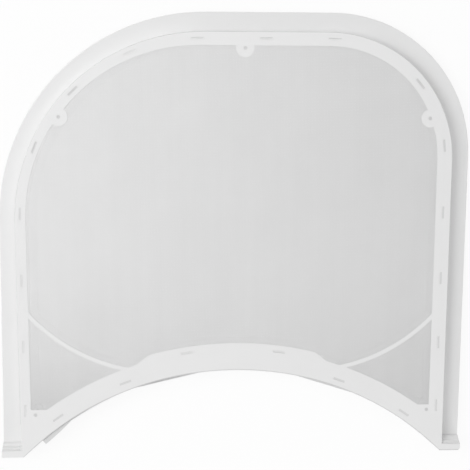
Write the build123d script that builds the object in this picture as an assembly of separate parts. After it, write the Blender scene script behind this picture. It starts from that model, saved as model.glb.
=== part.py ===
from build123d import *
import math
import os

# Fold-open lint filter of a tumble dryer, lying on its rear face.
# X runs across, Y from the feet to the rounded top, Z from the rear face to the front.
# All sizes are in millimetres.

# Rear shell outline
shell_width = 311.2
shell_height = 295.7
shell_radius_left = 135.8
shell_radius_right = 92.8
shell_slant = 0.73

# Concave edge and the slanted ends of the legs beside it
arch_radius = 200.0
arch_height = 59.1
leg_tip_width = 13.3
leg_cut_width = 11.4
leg_cut_height = 10.2

# Lip of the shell along the concave edge, straight over two stretches, and one ear that locates the leaf
lip_drop = 3.4
lip_shift = 0.5
straight_angles = (-13.2, 18.0)
straight_length = 50.0
ear_distance = 1.8
ear_width = 3.2
ear_length = 26.0
ear_fullness = 0.8
ear_gap = 0.3
ear_step = 1.0

# Front leaf, given by the rim of the shell that stays visible round it
rim_left = 10.9
rim_right = 12.7
rim_top = 12.8
leaf_radius_left = 123.5
leaf_radius_right = 83.0

# Flange of the front leaf round its mesh window
flange_left = 7.3
flange_right = 10.3
flange_top = 8.9
shoulder_inset_left = 10.9
shoulder_inset_right = 10.5
window_bottom_height = 33.2

# Band along the concave edge, wider over its centre
side_band = 14.8
centre_band = 18.8
band_step_inner = 56.0
band_step_outer = 64.4
band_shift = -1.0

# Ribs across the two lower corners of each window
rib_width = 2.8
rib_radius = 118.0
rib_side_height = 101.2
rib_foot_x = 66.0
rib_foot_depth = 4.0

# Heights above the rear face
plate_thickness = 1.8
wall_thickness = 1.8
rim_height = 5.0
rim_thickness = 2.5
leaf_step = 8.0
leaf_gap = 0.3
edge_round = 0.4

# Mouth along the concave edge, where air and lint come in
mouth_lip = 4.0
mouth_end_wall = 6.0

# Tray wall and window of the rear shell
tray_inset = 16.4
rear_flange = 7.0

# Feet of the leaf that stop the filter in its slot, with grooves at shares of the way down their ramps
foot_land = 4.4
foot_ramp = 3.8
foot_edge = 0.5
foot_round_left = 0.6
foot_round_right = 2.0
groove_shares = (0.14, 0.5)
groove_width = 0.8
groove_depth = 0.3

# Mesh sheets moulded into the frames
mesh_thickness = 0.5
mesh_depth = 0.15
mesh_grip = 5.0

# Lugs, gate dimples and gripper slots on the front face
lug_radius = 6.0
lug_top_offset = 6.2
lug_top_depth = 1.5
lug_side_depth = 0.5
lug_left_angle = 143.4
lug_right_angle = 21.5
dimple_radius = 1.15
dimple_depth = 0.5
slot_length = 8.0
slot_width = 1.4
slot_depth = 0.3
slot_spacing = 44.4
slot_start_height = 32.5
left_slot_count = 10
right_slot_count = 6
centre_slot_angle = 8.3
centre_slot_offset = 14.5
side_slot_angles = (20.6, 34.9)
side_slot_offset = 5.3

# Snap hinge along the straight top edge of the leaf
clip_radius = 2.3
clip_width = 11.0
clip_side_gap = 0.5
clip_end_distance = 14.0
clip_mouth = 1.9
pin_radius = 1.1
pin_clearance = 0.1
hinge_clearance = 0.3

# Closing pegs of the leaf and their sockets in the shell
peg_inset_left = 10.3
peg_inset_right = 11.7
peg_height = 29.6
peg_radius = 2.0
peg_clearance = 0.2
peg_tip_gap = 1.0
socket_wall = 1.8
socket_top_gap = 0.5

# Places worked out from the sizes above
top = shell_height / 2
bottom = -shell_height / 2
half_width = shell_width / 2
rim_front = rim_height + rim_thickness
front = rim_front + leaf_step
flange_back = front - plate_thickness
leaf_left = -half_width + rim_left
leaf_right = half_width - rim_right
leaf_top = top - rim_top
leaf_middle = (leaf_left + leaf_right) / 2
leaf_back = rim_front + leaf_gap
window_left = leaf_left + flange_left
window_right = leaf_right - flange_right
window_top = leaf_top - flange_top
window_radius_left = leaf_radius_left - shoulder_inset_left
window_radius_right = leaf_radius_right - shoulder_inset_right
arch_top = bottom + arch_height
arch_centre_y = arch_top - arch_radius
foot_inner = half_width - leg_tip_width
foot_length = foot_land + foot_ramp
leg_cut_x = foot_inner - leg_cut_width
mouth_half_width = leg_cut_x - mouth_end_wall
hinge_z = flange_back - hinge_clearance - clip_radius
hinge_rise = hinge_z - rim_front
hinge_y = leaf_top - hinge_rise + hinge_clearance
hinge_start = leaf_left + leaf_radius_left
hinge_end = leaf_right - leaf_radius_right
clip_centres = (hinge_start + clip_end_distance, hinge_end - clip_end_distance)
peg_y = bottom + peg_height
peg_centres = [(leaf_left + peg_inset_left, peg_y), (leaf_right - peg_inset_right, peg_y)]


def arched_edges(left, right, high, radius_left, radius_right, low, slant):
    """Left side, slanting outwards to its foot, left shoulder, straight top, right shoulder and right side."""
    shoulder = CenterArc((left + radius_left, high - radius_left), radius_left, 180 - slant, slant - 90)
    start = shoulder @ 0
    run = (start.Y - low) * math.tan(math.radians(slant))
    return [
        Line((start.X - run, low), (start.X, start.Y)),
        shoulder,
        Line((left + radius_left, high), (right - radius_right, high)),
        CenterArc((right - radius_right, high - radius_right), radius_right, 90, -90),
        Line((right, high - radius_right), (right, low)),
    ]


def arched_face(left, right, high, radius_left, radius_right, slant=0):
    """Flat field with a straight top, two round shoulders and a straight bottom."""
    edges = arched_edges(left, right, high, radius_left, radius_right, bottom, slant)
    return make_face(edges + [Line(edges[-1] @ 1, edges[0] @ 0)])


def shell_face(inset):
    """Outline of the shell, drawn in by an even distance."""
    return arched_face(
        -half_width + inset,
        half_width - inset,
        top - inset,
        shell_radius_left - inset,
        shell_radius_right - inset,
        shell_slant,
    )


def leaf_face(inset):
    """Outline of the leaf, drawn in by an even distance."""
    return arched_face(
        leaf_left + inset,
        leaf_right - inset,
        leaf_top - inset,
        leaf_radius_left - inset,
        leaf_radius_right - inset,
    )


def field(x_low, x_high, y_low, y_high):
    """Flat rectangle between two pairs of limits."""
    centre = Pos((x_low + x_high) / 2, (y_low + y_high) / 2)
    return centre * Rectangle(x_high - x_low, y_high - y_low)


def slab(face, z_low, z_high):
    """Flat face made into a plate between two heights."""
    return extrude(Pos(0, 0, z_low) * face, z_high - z_low, dir=(0, 0, 1))


def block(x_low, x_high, y_low, y_high, z_low, z_high):
    """Rectangular block between three pairs of limits."""
    return slab(field(x_low, x_high, y_low, y_high), z_low, z_high)


def arch_circle(offset):
    """Circle of the concave edge, grown by an offset."""
    return Pos(0, arch_centre_y) * Circle(arch_radius + offset)


def arch_y(x, offset):
    """Height of a line that runs along the concave edge at an offset."""
    return arch_centre_y + math.sqrt((arch_radius + offset) ** 2 - x**2)


def arch_point(angle, offset):
    """Point at an angle from the middle of the concave edge, to the right, and at an offset."""
    turn = math.radians(angle)
    reach = arch_radius + offset
    return (reach * math.sin(turn), arch_centre_y + reach * math.cos(turn))


def arch_notch(offset):
    """The space under the concave edge, kept between the slanted leg ends and grown by an offset."""
    slope = math.atan2(leg_cut_height, leg_cut_width)
    inner_x = leg_cut_x + offset * math.sin(slope)
    inner_y = bottom + leg_cut_height + offset * math.cos(slope)
    apex_y = inner_y + inner_x * math.tan(slope)
    outer_x = inner_x + shell_height / math.tan(slope)
    outer_y = inner_y - shell_height
    between_legs = Polygon((outer_x, outer_y), (0, apex_y), (-outer_x, outer_y), align=None)
    under_legs = field(-outer_x, outer_x, outer_y, inner_y)
    return between_legs & (under_legs + arch_circle(offset))


def lower_frame(growth):
    """The band along the concave edge and the lower ends of the legs, for a window grown into them."""
    inner_x = band_step_inner - growth
    outer_x = band_step_outer - growth
    step_low = arch_y(outer_x, side_band - growth)
    step_high = arch_y(inner_x, centre_band - growth)
    wide_zone = Polygon(
        (-outer_x, bottom),
        (outer_x, bottom),
        (outer_x, step_low),
        (inner_x, step_high),
        (inner_x, top),
        (-inner_x, top),
        (-inner_x, step_high),
        (-outer_x, step_low),
        align=None,
    )
    wide_band = Pos(band_shift, 0) * wide_zone & arch_circle(centre_band - growth)
    leg_ends = field(-shell_width, shell_width, bottom - shell_height, bottom + window_bottom_height - growth)
    return arch_circle(side_band - growth) + wide_band + leg_ends


def ribs():
    """An arc across each lower corner of a window, from the side to the band."""
    side_x = half_width - tray_inset
    side_y = bottom + rib_side_height
    foot_y = arch_y(rib_foot_x, side_band - rib_foot_depth)
    chord = math.hypot(side_x - rib_foot_x, side_y - foot_y)
    rise = math.sqrt(rib_radius**2 - (chord / 2) ** 2)
    centre_x = (side_x + rib_foot_x) / 2 - rise * (side_y - foot_y) / chord
    centre_y = (side_y + foot_y) / 2 + rise * (side_x - rib_foot_x) / chord
    ring = Circle(rib_radius + rib_width / 2) - Circle(rib_radius - rib_width / 2)
    right = Pos(centre_x, centre_y) * ring & field(rib_foot_x, side_x, bottom, centre_y)
    left = Pos(-centre_x, centre_y) * ring & field(-side_x, -rib_foot_x, bottom, centre_y)
    return left + right


def leaf_window(growth):
    """Mesh field of the leaf, grown into its frame by a distance."""
    whole = arched_face(
        window_left - growth,
        window_right + growth,
        window_top + growth,
        window_radius_left + growth,
        window_radius_right + growth,
    )
    return whole - Pos(leaf_middle, 0) * lower_frame(growth)


def shell_window(growth):
    """Mesh field of the shell, grown into its frame by a distance."""
    return shell_face(tray_inset + rear_flange - growth) - lower_frame(growth)


def shoulder_point(centre_x, radius, angle):
    """Lug centre near a round shoulder of the window, at an angle from the X axis."""
    turn = math.radians(angle)
    reach = radius - lug_side_depth
    return (centre_x + reach * math.cos(turn), window_top - radius + reach * math.sin(turn))


def lug_centres():
    """One lug on the straight top edge of the leaf's window and one on each shoulder."""
    return [
        (leaf_middle + lug_top_offset, window_top - lug_top_depth),
        shoulder_point(window_left + window_radius_left, window_radius_left, lug_left_angle),
        shoulder_point(window_right - window_radius_right, window_radius_right, lug_right_angle),
    ]


def gripper_slots():
    """Short slots that bare the mesh, in a run up the flange from each leg and six along the band."""
    line = Wire(
        arched_edges(
            (leaf_left + window_left) / 2,
            (leaf_right + window_right) / 2,
            (leaf_top + window_top) / 2,
            (leaf_radius_left + window_radius_left) / 2,
            (leaf_radius_right + window_radius_right) / 2,
            bottom + slot_start_height,
            0,
        )
    )
    mark = Rectangle(slot_length, slot_width)
    slot_step = slot_spacing / line.length
    shares = [index * slot_step for index in range(left_slot_count)]
    shares += [1 - index * slot_step for index in range(right_slot_count)]
    slots = []
    for share in shares:
        place = line @ share
        heading = line % share
        turn = math.degrees(math.atan2(heading.Y, heading.X))
        slots.append(Pos(place.X, place.Y) * Rot(0, 0, turn) * mark)
    band_slots = [(centre_slot_angle, centre_slot_offset)]
    band_slots += [(angle, side_slot_offset) for angle in side_slot_angles]
    arch_centre = Pos(leaf_middle + band_shift, arch_centre_y)
    for angle, offset in band_slots:
        for turn in (angle, -angle):
            slots.append(arch_centre * Rot(0, 0, turn) * Pos(0, arch_radius + offset) * mark)
    return slots


def hinge_bar(radius, start, end):
    """Round bar along the hinge axis."""
    return Pos((start + end) / 2, hinge_y, hinge_z) * Rot(0, 90, 0) * Cylinder(radius, end - start)


def hinge_column(radius, start, end, z_low, z_high):
    """Upright block under or over the hinge axis, as wide as a bar of that radius."""
    return block(start, end, hinge_y - radius, hinge_y + radius, z_low, z_high)


def lip_face():
    """Field under the band down to the lip's edge, an arc with two straight stretches."""
    lip_centre = Pos(lip_shift, arch_centre_y - lip_drop)
    open_space = Circle(arch_radius)
    for angle in straight_angles:
        reach = math.sqrt(arch_radius**2 - (straight_length / 2) ** 2)
        cap = Pos(0, reach + arch_radius / 2) * Rectangle(straight_length, arch_radius)
        open_space -= Rot(0, 0, -angle) * cap
    return field(-leg_cut_x, leg_cut_x, bottom, arch_top + side_band) - lip_centre * open_space


def ear_face():
    """Plan of the ear at the left end of the mouth, blunt at the leg and drawn out to a point."""
    start = math.degrees(ear_distance / arch_radius - math.asin(leg_cut_x / arch_radius))
    length = math.degrees(ear_length / arch_radius)
    root = arch_point(start, -ear_gap)
    blunt = arch_point(start, -ear_gap - ear_width)
    middle = arch_point(start + length / 2, -ear_gap - ear_width * ear_fullness)
    tip = arch_point(start + length, -ear_gap)
    inner = arch_point(start + length / 2, -ear_gap)
    edges = [Line(root, blunt), ThreePointArc(blunt, middle, tip), ThreePointArc(tip, inner, root)]
    return Pos(leaf_middle, 0) * make_face(edges)


def foot(side, corner_round):
    """Raised end of a leg of the leaf, with a land along its end and a grooved ramp behind that."""
    wall_x = leaf_right if side > 0 else leaf_left
    inner_x = wall_x - side * wall_thickness
    x_low, x_high = sorted((inner_x, side * shell_width))
    plan = shell_face(0) & field(x_low, x_high, bottom, bottom + foot_length)
    end_corners = plan.vertices().group_by(Axis.Y)[0]
    plan = fillet(end_corners.sort_by(lambda corner: side * corner.X)[-1], corner_round)
    body = slab(plan, leaf_back, front)

    ramp_top = bottom + foot_land
    drop = front - leaf_back - foot_edge
    above_ramp = Polygon(
        (ramp_top, front),
        (ramp_top + foot_ramp, front - drop),
        (ramp_top + foot_ramp, front),
        align=None,
    )
    body -= Pos(-shell_width, 0, 0) * extrude(Plane.YZ * above_ramp, 2 * shell_width, dir=(1, 0, 0))
    slope = math.degrees(math.atan2(drop, foot_ramp))
    groove = Rot(-slope, 0, 0) * Box(2 * shell_width, groove_width, 2 * groove_depth)
    for share in groove_shares:
        body -= Pos(0, ramp_top + share * foot_ramp, front - share * drop) * groove

    x_low, x_high = sorted((wall_x, side * (half_width - wall_thickness)))
    return body - block(x_low, x_high, bottom + wall_thickness, ramp_top, leaf_back, flange_back)


def make_rear_mesh():
    return slab(shell_window(mesh_grip), mesh_depth, mesh_depth + mesh_thickness)


def make_front_mesh():
    mesh_front = front - mesh_depth
    return slab(leaf_window(mesh_grip), mesh_front - mesh_thickness, mesh_front)


def make_hinge_rail():
    """Rail under the leaf's top edge, narrowed to a pin where each clip sits."""
    rail = hinge_bar(clip_radius, hinge_start, hinge_end)
    rail += hinge_column(clip_radius, hinge_start, hinge_end, rim_front, hinge_z)
    for centre in clip_centres:
        start = centre - clip_width / 2 - clip_side_gap
        end = centre + clip_width / 2 + clip_side_gap
        rail -= hinge_column(2 * clip_radius, start, end, rim_front, front)
        rail += hinge_bar(pin_radius, start, end)
    return rail


def make_rear_frame(mesh):
    tray_outer = shell_face(tray_inset) - arch_notch(0)
    tray_inner = shell_face(tray_inset + wall_thickness) - arch_notch(wall_thickness)

    # Rim with a rounded front edge
    frame = slab(shell_face(0), rim_height, rim_front)
    frame = fillet(frame.edges().group_by(Axis.Z)[-1], edge_round)
    frame -= slab(shell_face(tray_inset + wall_thickness) + arch_notch(0), rim_height, rim_front)

    # Tray wall, open along the mouth
    wall = slab(tray_outer - tray_inner, 0, rim_front)
    wall -= block(-mouth_half_width, mouth_half_width, bottom, arch_top + centre_band, plate_thickness, front)

    # Rear plate with its lip along the concave edge, its window and ribs
    open_window = shell_window(0) - ribs()
    plate = slab(tray_outer + lip_face() - open_window, 0, plate_thickness)
    ear = slab(ear_face(), 0, front - ear_step)

    frame += wall + plate + ear + make_hinge_rail()

    socket_radius = peg_radius + peg_clearance
    socket_front = rim_front - socket_top_gap
    for x, y in peg_centres:
        frame += slab(Pos(x, y) * Circle(socket_radius + socket_wall), 0, socket_front)
        frame -= slab(Pos(x, y) * Circle(socket_radius), plate_thickness, socket_front)
    return frame - mesh


def make_clip(centre):
    """Snap clip that hangs from the flange and grips a pin of the rail."""
    start = centre - clip_width / 2
    end = centre + clip_width / 2
    clip = hinge_bar(clip_radius, start, end)
    clip += hinge_column(clip_radius, start, end, hinge_z, flange_back)
    clip -= hinge_bar(pin_radius + pin_clearance, start, end)
    clip -= hinge_column(clip_mouth / 2, start, end, rim_front, hinge_z)
    return clip


def make_front_frame(mesh):
    # Leaf with a rounded front edge, hollow behind its flange
    frame = slab(leaf_face(0), leaf_back, front)
    frame = fillet(frame.edges().group_by(Axis.Z)[-1], edge_round)
    centre = Pos(leaf_middle, 0)
    frame -= slab(leaf_face(wall_thickness) - centre * arch_notch(wall_thickness), leaf_back, flange_back)
    frame += foot(-1, foot_round_left) + foot(1, foot_round_right)
    frame -= slab(centre * arch_notch(0), leaf_back, front)
    mouth = centre * field(-mouth_half_width, mouth_half_width, bottom, arch_top + centre_band)
    frame -= slab(mouth, leaf_back, front - mouth_lip)

    # Behind the hinge axis the wall gives way to the rail, and beside the rail it is rounded about the axis
    turning_space = block(-shell_width, shell_width, hinge_y, top, rim_front, flange_back)
    turning_space -= hinge_bar(hinge_rise - hinge_clearance, -shell_width, shell_width)
    rail_space = hinge_column(
        leaf_top - hinge_y + hinge_clearance,
        hinge_start - hinge_clearance,
        hinge_end + hinge_clearance,
        rim_front,
        flange_back,
    )
    frame -= turning_space + rail_space

    window = leaf_window(0) - centre * ribs()
    for x, y in lug_centres():
        window -= Pos(x, y) * Circle(lug_radius)
    frame -= slab(window, flange_back, front)

    for clip_x in clip_centres:
        frame += make_clip(clip_x)
    for x, y in peg_centres:
        frame += slab(Pos(x, y) * Circle(peg_radius), plate_thickness + peg_tip_gap, flange_back)

    for x, y in lug_centres() + peg_centres:
        frame -= slab(Pos(x, y) * Circle(dimple_radius), front - dimple_depth, front)
    for slot in gripper_slots():
        frame -= slab(slot, front - slot_depth, front)
    return frame - mesh


rear_mesh = make_rear_mesh()
front_mesh = make_front_mesh()
pieces = {
    "rear_frame": make_rear_frame(rear_mesh),
    "rear_mesh": rear_mesh,
    "front_frame": make_front_frame(front_mesh),
    "front_mesh": front_mesh,
}

# The slanted left side puts the middle of the outline off the Y axis, so the pieces are moved back onto it
centring = Pos(-shell_face(0).bounding_box().center().X, 0, 0)
os.makedirs("parts", exist_ok=True)
for name, piece in pieces.items():
    export_step(centring * piece, f"parts/{name}.step")
    print(name, "solids", len(piece.solids()), "volume", round(piece.volume / 1000, 2), "cm3")
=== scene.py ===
import math

import bmesh
import bpy
from mathutils import Matrix, Vector


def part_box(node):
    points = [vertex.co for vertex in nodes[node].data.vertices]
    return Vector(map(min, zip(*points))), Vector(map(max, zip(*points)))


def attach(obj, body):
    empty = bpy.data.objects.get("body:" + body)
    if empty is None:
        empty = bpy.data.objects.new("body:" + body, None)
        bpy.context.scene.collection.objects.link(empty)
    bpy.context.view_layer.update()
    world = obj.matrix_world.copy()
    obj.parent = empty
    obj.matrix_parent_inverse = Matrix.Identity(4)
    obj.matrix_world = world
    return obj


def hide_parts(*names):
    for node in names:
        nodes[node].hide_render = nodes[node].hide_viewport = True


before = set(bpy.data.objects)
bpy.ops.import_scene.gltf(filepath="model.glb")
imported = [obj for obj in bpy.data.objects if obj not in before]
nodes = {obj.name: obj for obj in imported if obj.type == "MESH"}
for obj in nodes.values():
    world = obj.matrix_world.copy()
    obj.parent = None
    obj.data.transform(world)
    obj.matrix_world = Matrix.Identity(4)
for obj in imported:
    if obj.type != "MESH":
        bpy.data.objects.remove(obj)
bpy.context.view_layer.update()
scene = bpy.context.scene
scene.view_settings.view_transform = "Standard"
print("frame loaded:", ", ".join(sorted(nodes)))


# a socket that can be used in sums
class Wire:
    def __init__(self, board, socket):
        self.board = board
        self.socket = socket

    def sum(self, operation, first, second):
        return self.board.node("ShaderNodeMath", {"operation": operation}, {0: first, 1: second})

    def __add__(self, other):
        return self.sum("ADD", self, other)

    def __radd__(self, other):
        return self.sum("ADD", other, self)

    def __sub__(self, other):
        return self.sum("SUBTRACT", self, other)

    def __rsub__(self, other):
        return self.sum("SUBTRACT", other, self)

    def __mul__(self, other):
        return self.sum("MULTIPLY", self, other)

    def __rmul__(self, other):
        return self.sum("MULTIPLY", other, self)

    def __gt__(self, other):
        return self.sum("GREATER_THAN", self, other)

    def __lt__(self, other):
        return self.sum("LESS_THAN", self, other)


# the node tree of a material or of the world
class Board:
    def __init__(self, owner):
        owner.use_nodes = True
        self.tree = owner.node_tree
        self.tree.nodes.clear()

    def node(self, kind, settings=None, sockets=None, out=0):
        made = self.tree.nodes.new(kind)
        for name, value in (settings or {}).items():
            setattr(made, name, value)
        for name, value in (sockets or {}).items():
            if isinstance(value, Wire):
                self.tree.links.new(value.socket, made.inputs[name])
            else:
                made.inputs[name].default_value = value
        return Wire(self, made.outputs[out]) if len(made.outputs) else made


def grey(level):
    return (level, level, level, 1.0)


def axis(board, vector, name):
    return board.node("ShaderNodeSeparateXYZ", None, {"Vector": vector}, out=name)


# square of the distance from a place on the filter's face
def farSquared(x, y, centre):
    right, up = x - centre[0], y - centre[1]
    return right * right + up * up


# CAMERA, fitted to the photograph
cameraSet = {
    "place": (-0.03755, 0.09986, 0.66019),
    "target": (0.00102, 0.00075, 0.0155),
    "rollDeg": 0.258,
    "sensor": 36.0,
    "lens": 75.77,
    "shift": (-0.0031, 0.0081),
    "clip": (0.01, 20.0),
}


def makeCamera(values):
    data = bpy.data.cameras.new("camera")
    data.sensor_width = values["sensor"]
    data.lens = values["lens"]
    data.shift_x, data.shift_y = values["shift"]
    data.clip_start, data.clip_end = values["clip"]
    camera = bpy.data.objects.new("camera", data)
    scene.collection.objects.link(camera)
    back = (Vector(values["place"]) - Vector(values["target"])).normalized()
    right = Vector((0, 1, 0)).cross(back).normalized()  # the filter's top stays up in the picture
    turn = Matrix((right, back.cross(right), back)).transposed()
    turn = Matrix.Rotation(math.radians(values["rollDeg"]), 3, back) @ turn
    camera.matrix_world = Matrix.Translation(values["place"]) @ turn.to_4x4()
    scene.camera = camera


makeCamera(cameraSet)
print("camera set")


# LIGHT: a large soft lamp at the left, a weaker one at the top, a small fill at the feet,
# a pale room and a white floor
lightSet = {
    "lamps": {
        "sideLamp": {"place": (-1.3, 0.3, 1.43), "size": 1.2, "power": 18.8},
        "topLamp": {"place": (0.1, 0.9, 2.4), "size": 2.0, "power": 14.0},
        "fillLamp": {"place": (0.35, -0.6, 0.3), "size": 0.3, "power": 0.6},
    },
    "roomLevel": 0.395,
    "floorSize": 3.0,
    "floorDrop": 0.0002,  # keeps the floor just under the filter
    "floorLevel": 0.93,
    "floorGlow": 0.9,  # share of plain white that the camera sees in the floor
}


def makeLamp(name, values):
    data = bpy.data.lights.new(name, "AREA")
    data.shape = "SQUARE"
    data.size = values["size"]
    data.energy = values["power"]
    lamp = bpy.data.objects.new(name, data)
    scene.collection.objects.link(lamp)
    place = Vector(values["place"])
    turn = (-place).to_track_quat("-Z", "Y")  # aimed at the middle of the filter
    lamp.matrix_world = Matrix.Translation(place) @ turn.to_matrix().to_4x4()


def makeLight(values):
    for name, lamp in values["lamps"].items():
        makeLamp(name, lamp)
    world = bpy.data.worlds.new("room")
    scene.world = world
    board = Board(world)
    level = values["roomLevel"]
    camera = board.node("ShaderNodeLightPath", out="Is Camera Ray")
    glossy = board.node("ShaderNodeLightPath", out="Is Glossy Ray")
    clear = board.node("ShaderNodeLightPath", out="Is Transmission Ray")
    plain = board.node(
        "ShaderNodeMath",
        {"operation": "ADD", "use_clamp": True},
        {0: camera + glossy, 1: clear},
    )
    shine = board.node(
        "ShaderNodeBackground",
        None,
        {"Color": grey(1.0), "Strength": plain * (1 - level) + level},
    )
    board.node("ShaderNodeOutputWorld", None, {"Surface": shine})


def makeFloor(values):
    bm = bmesh.new()
    bmesh.ops.create_grid(bm, x_segments=1, y_segments=1, size=values["floorSize"] / 2)
    bmesh.ops.translate(bm, verts=bm.verts, vec=(0, 0, -values["floorDrop"]))
    mesh = bpy.data.meshes.new("floor")
    bm.to_mesh(mesh)
    bm.free()
    floor = bpy.data.objects.new("floor", mesh)
    scene.collection.objects.link(floor)

    paper = bpy.data.materials.new("floorPaper")
    board = Board(paper)
    camera = board.node("ShaderNodeLightPath", out="Is Camera Ray")
    matt = board.node("ShaderNodeBsdfDiffuse", None, {"Color": grey(values["floorLevel"])})
    white = board.node("ShaderNodeEmission", None, {"Color": grey(1.0), "Strength": 1.0})
    mixed = board.node("ShaderNodeMixShader", None, {0: camera * values["floorGlow"], 1: matt, 2: white})
    board.node("ShaderNodeOutputMaterial", None, {"Surface": mixed})
    mesh.materials.append(paper)


makeLight(lightSet)
makeFloor(lightSet)
print("light and floor set")


archCentre = (0.0001, -0.28875)  # middle of the concave edge's circle

# PAINTED SHADE: darker places painted on the plastic where shade falls, each with its loss of level
paintedShadeSet = {
    "slotFloor": (0.0151, 0.01523),  # heights of the short slots' floors, which get painted shade
    "slotShadeLoss": 0.11,
    "edgeBand": (0.01523, 0.01547),  # heights of the leaf's rounded edge, which gets a thin line of painted shade
    "edgeShadeLoss": 0.2,
    "legTop": -0.125,  # slots and edge get their painted shade above this
    "archReach": 0.2006,  # a thin line of painted shade runs along the concave edge
    "archShadeLoss": 0.16,
    "earReach": 0.1998,  # the ear stands inside the concave edge, at the left leg, and gets painted shade
    "earSide": -0.1,
    "earShadeLoss": 0.1,
    "footBack": 0.0078,  # the feet stand in front of this height
    "grooves": (-0.14292, -0.14155, -0.13975),  # painted shade in the left foot's grooves and at the root of its ramp
    "grooveHalf": 0.0005,
    "grooveSide": -0.1425,
    "grooveShadeLoss": 0.05,
    "hemTop": -0.1473,  # the right foot's lower edge, with painted shade
    "hemSide": 0.1,
    "hemShadeLoss": 0.22,
}


# painted shade on the plastic: slot floors, the leaf's edge, the concave edge, the ear and the feet
def paintedShadeLoss(board, spot, values):
    x, y, z = axis(board, spot, "X"), axis(board, spot, "Y"), axis(board, spot, "Z")
    floorLow, floorHigh = values["slotFloor"]
    edgeLow, edgeHigh = values["edgeBand"]
    above = y > values["legTop"]
    loss = above * (z > floorLow) * (z < floorHigh) * values["slotShadeLoss"]
    loss = loss + above * (z > edgeLow) * (z < edgeHigh) * values["edgeShadeLoss"]

    far = farSquared(x, y, archCentre)
    loss = loss + (z > floorLow) * (far < values["archReach"] ** 2) * values["archShadeLoss"]
    loss = loss + (x < values["earSide"]) * (far < values["earReach"] ** 2) * values["earShadeLoss"]

    onFoot = z > values["footBack"]
    for middle in values["grooves"]:
        groove = board.node(
            "ShaderNodeMath",
            {"operation": "COMPARE"},
            {0: y, 1: middle, 2: values["grooveHalf"]},
        )
        loss = loss + onFoot * groove * (x < values["grooveSide"]) * values["grooveShadeLoss"]
    return loss + onFoot * (y < values["hemTop"]) * (x > values["hemSide"]) * values["hemShadeLoss"]


# PLASTIC of the rear shell and the front leaf
plasticSet = {
    # the shell's plastic is a shaded copy of the leaf's: its lower level is painted shade on the rim
    "shellLevel": 0.8,
    "shellSeed": 0.0,
    "leafLevel": 0.825,
    "leafSeed": 3.1,
    "mottle": 0.03,
    "flow": {"Scale": 26.0, "Detail": 3.0, "Roughness": 0.55, "Distortion": 0.6},  # slow mottling
    "grain": {"Scale": 2600.0, "Detail": 2.0, "Roughness": 0.6},  # fine spark-eroded grain
    "grainDepth": 0.00003,
    "grainStrength": 0.35,
    "roughness": 0.42,
    "roughnessSpread": 0.14,
    "edgeRadius": 0.0001,
    "edgeSamples": 4,
    "ior": 1.5,
}


def makePlastic(name, level, seed, values):
    material = bpy.data.materials.new(name)
    board = Board(material)
    spot = board.node("ShaderNodeTexCoord", out="Object")
    place = board.node("ShaderNodeMapping", None, {"Vector": spot, "Location": (seed, seed * 0.7, 0)})
    flow = board.node("ShaderNodeTexNoise", None, {"Vector": place, **values["flow"]})
    grain = board.node("ShaderNodeTexNoise", None, {"Vector": place, **values["grain"]})
    # the plastic's own mottled tone, less the painted shade of the marks
    colour = level + (flow - 0.5) * values["mottle"] - paintedShadeLoss(board, spot, paintedShadeSet)
    spread = values["roughnessSpread"]
    roughness = flow * spread + grain * spread + (values["roughness"] - spread)
    softEdge = board.node(
        "ShaderNodeBevel",
        {"samples": values["edgeSamples"]},
        {"Radius": values["edgeRadius"]},
    )
    bump = board.node(
        "ShaderNodeBump",
        None,
        {
            "Strength": values["grainStrength"],
            "Distance": values["grainDepth"],
            "Height": grain,
            "Normal": softEdge,
        },
    )
    shader = board.node(
        "ShaderNodeBsdfPrincipled",
        None,
        {"Base Color": colour, "Roughness": roughness, "Normal": bump, "IOR": values["ior"]},
    )
    board.node("ShaderNodeOutputMaterial", None, {"Surface": shader})
    return material


def dress(node, material):
    skin = nodes[node].data
    skin.materials.clear()
    skin.materials.append(material)


shellPlastic = makePlastic("shellPlastic", plasticSet["shellLevel"], plasticSet["shellSeed"], plasticSet)
leafPlastic = makePlastic("leafPlastic", plasticSet["leafLevel"], plasticSet["leafSeed"], plasticSet)
dress("rear_frame", shellPlastic)
dress("front_frame", leafPlastic)
print("frames dressed")


# FILTER MESH: two layers of fine straight nylon threads, cut from each sheet's own outline
threadSet = {
    "pitch": 0.0005,
    "width": 0.000335,
    "height": 0.00006,
    "crimp": 0.00004,  # how far a thread seems to rise over the one it crosses
    "crimpStrength": 0.6,
    "level": 0.8165,
    "sideShade": 0.365,  # painted shade: loss of level per metre to the right, away from the side lamp
    "footFade": 7.0,  # loss of level per square metre towards the legs
    "cornerFade": 26.0,  # further loss towards the left leg
    "cloud": {"Scale": 32.0, "Detail": 3.0, "Roughness": 0.5},
    "cloudDepth": 0.045,
    "streak": {"Scale": 1.0, "Detail": 2.0, "Roughness": 0.5},
    "streakStretch": (160.0, 6.0, 1.0),
    "streakDepth": 0.027,
    "roughness": 0.5,
    "roughnessSpread": 0.16,
    "ior": 1.53,
}

# painted shade and light on the mesh as it shows in the slots and dimples of the leaf
heldPaintedShadeSet = {
    "width": 0.004,  # how far the edge reaches in from the sheet's outline
    "leftCorner": 0.1176,
    "rightCorner": 0.0775,
    "level": 0.797,
    "fade": 0.67,  # loss of that level per metre towards the top
    "top": 0.115,
    "topGain": 0.17,  # painted light: gain of that level above the top line
    "crownReach": 0.2175,  # the edge that the band holds at the crown of the arch, painted lighter
    "crownHalf": 0.06,
    "crownLevel": 0.82,
    "gates": ((0.0063, 0.1247), (-0.1138, 0.0804), (0.1281, 0.08), (-0.1334, -0.1183)),  # under the dimples, which get painted shade
    "gateRadius": 0.0013,
    "gateLevel": 0.735,
}

sheetSet = {
    "front_mesh": {"body": "front_leaf", "holder": "front_frame", "turnDeg": 0.0, "face": 1, "area": 0.0586},
    "rear_mesh": {"body": "rear_shell", "holder": "rear_frame", "turnDeg": 14.0, "face": -1, "area": 0.057},
}


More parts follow.
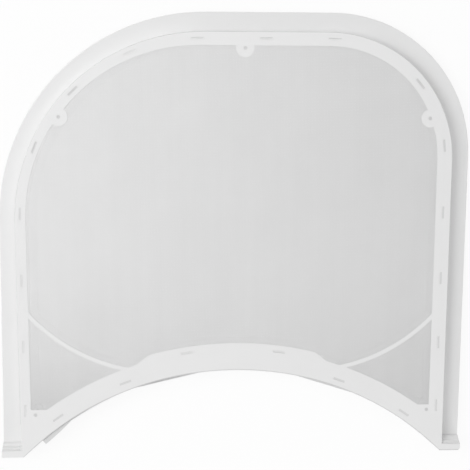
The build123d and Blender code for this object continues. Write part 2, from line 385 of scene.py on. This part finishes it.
def meshThreads(node, turnDeg, face, values):
    mergeDistance, cutDistance = 1e-6, 1e-8
    low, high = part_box(node)
    start = high.z if face > 0 else low.z + 2 * values["height"]
    both = bmesh.new()
    for quarter, top in ((0, start), (90, start - values["height"])):  # one layer lies on the other
        bm = bmesh.new()
        bm.from_mesh(nodes[node].data)
        bmesh.ops.remove_doubles(bm, verts=bm.verts, dist=mergeDistance)
        notUp = [skin for skin in bm.faces if skin.normal.z < 0.5]
        bmesh.ops.delete(bm, geom=notUp, context="FACES")
        bmesh.ops.dissolve_faces(bm, faces=bm.faces, use_verts=False)
        bmesh.ops.translate(bm, verts=bm.verts, vec=(0, 0, top - high.z))
        angle = math.radians(turnDeg + quarter)
        across = Vector((math.cos(angle), math.sin(angle), 0))
        reach = [v.co.dot(across) for v in bm.verts]
        count = int((max(reach) - min(reach)) / values["pitch"])
        first = (min(reach) + max(reach) - (count - 1) * values["pitch"]) / 2
        rest, gaps = bm.faces[:], []
        for index in range(count):
            for side in (-1, 1):  # the two edges of one thread
                cut = first + index * values["pitch"] + side * values["width"] / 2
                ahead = {item for strip in rest for item in (strip, *strip.edges, *strip.verts)}
                done = bmesh.ops.bisect_plane(
                    bm,
                    geom=list(ahead),
                    dist=cutDistance,
                    plane_co=across * cut,
                    plane_no=across,
                )
                strips = [item for item in done["geom"] if isinstance(item, bmesh.types.BMFace)]
                rest = [strip for strip in strips if strip.calc_center_median().dot(across) > cut]
                if side < 0:
                    gaps += [strip for strip in strips if strip.calc_center_median().dot(across) < cut]
        bmesh.ops.delete(bm, geom=gaps + rest, context="FACES")
        bmesh.ops.solidify(bm, geom=bm.faces[:], thickness=values["height"])
        bmesh.ops.recalc_face_normals(bm, faces=bm.faces)
        layer = bpy.data.meshes.new("layer")
        bm.to_mesh(layer)
        bm.free()
        both.from_mesh(layer)
        bpy.data.meshes.remove(layer)
    mesh = bpy.data.meshes.new(node + "_threads")
    both.to_mesh(mesh)
    both.free()
    piece = bpy.data.objects.new(node + "_threads", mesh)
    scene.collection.objects.link(piece)
    return piece


# the outer edge of the sheet, round one shoulder
def heldEdge(board, x, y, node, side, values):
    low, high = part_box(node)
    radius = values["leftCorner"] if side < 0 else values["rightCorner"]
    middle = low.x + radius if side < 0 else high.x - radius
    out = board.node("ShaderNodeMath", {"operation": "MAXIMUM"}, {0: (x - middle) * side, 1: 0.0})
    up = board.node("ShaderNodeMath", {"operation": "MAXIMUM"}, {0: y - (high.y - radius), 1: 0.0})
    return out * out + up * up > (radius - values["width"]) ** 2


# painted shade and light on the mesh in the slots, at the crown and in the dimples
def heldPaintedShade(board, x, y, node, shade, values):
    left = heldEdge(board, x, y, node, -1, values)
    right = heldEdge(board, x, y, node, 1, values)
    held = board.node("ShaderNodeMath", {"operation": "MAXIMUM"}, {0: left, 1: right})
    gain = (y > values["top"]) * values["topGain"]
    shade = shade + held * (values["level"] - y * values["fade"] + gain - shade)
    crown = farSquared(x, y, archCentre) < values["crownReach"] ** 2
    crown = crown * (x > -values["crownHalf"]) * (x < values["crownHalf"])
    shade = shade + crown * (values["crownLevel"] - shade)
    for gate in values["gates"]:
        dimple = farSquared(x, y, gate) < values["gateRadius"] ** 2
        shade = shade + dimple * (values["gateLevel"] - shade)
    return shade


def makeNylon(name, node, turnDeg, face, values):
    material = bpy.data.materials.new(name)
    board = Board(material)
    place = board.node("ShaderNodeTexCoord", out="Object")
    x, y = axis(board, place, "X"), axis(board, place, "Y")
    low = board.node("ShaderNodeMath", {"operation": "MINIMUM"}, {0: y, 1: 0.0})
    leftward = board.node("ShaderNodeMath", {"operation": "MINIMUM"}, {0: x, 1: 0.0})
    cloud = board.node("ShaderNodeTexNoise", None, {"Vector": place, **values["cloud"]})
    stretch = board.node("ShaderNodeMapping", None, {"Vector": place, "Scale": values["streakStretch"]})
    streak = board.node("ShaderNodeTexNoise", None, {"Vector": stretch, **values["streak"]})
    shade = values["level"] - x * values["sideShade"] - low * low * values["footFade"]
    shade = shade + low * low * leftward * values["cornerFade"]
    shade = shade + (cloud - 0.5) * values["cloudDepth"] + (streak - 0.5) * values["streakDepth"]
    if face > 0:
        shade = heldPaintedShade(board, x, y, node, shade, heldPaintedShadeSet)

    turn = (0, 0, -math.radians(turnDeg))
    turned = board.node("ShaderNodeMapping", None, {"Vector": place, "Rotation": turn})
    rate = math.pi / values["pitch"]
    weave = board.node("ShaderNodeMath", {"operation": "SINE"}, {0: axis(board, turned, "X") * rate})
    weave = weave * board.node("ShaderNodeMath", {"operation": "SINE"}, {0: axis(board, turned, "Y") * rate})
    bump = board.node(
        "ShaderNodeBump",
        None,
        {"Strength": values["crimpStrength"], "Distance": values["crimp"], "Height": weave},
    )
    spread = values["roughnessSpread"]
    roughness = cloud * spread + (values["roughness"] - spread / 2)
    shader = board.node(
        "ShaderNodeBsdfPrincipled",
        None,
        {"Base Color": shade, "Roughness": roughness, "Normal": bump, "IOR": values["ior"]},
    )
    board.node("ShaderNodeOutputMaterial", None, {"Surface": shader})
    return material


def makeSheet(node, body, holder, turnDeg, face, area):
    piece = meshThreads(node, turnDeg, face, threadSet)
    piece.data.materials.append(makeNylon(node + "_nylon", node, turnDeg, face, threadSet))
    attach(piece, body)
    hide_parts(node)
    print(piece.name, len(piece.data.polygons), "faces")


for node, sheet in sheetSet.items():
    makeSheet(node, **sheet)

print("visual pieces done")
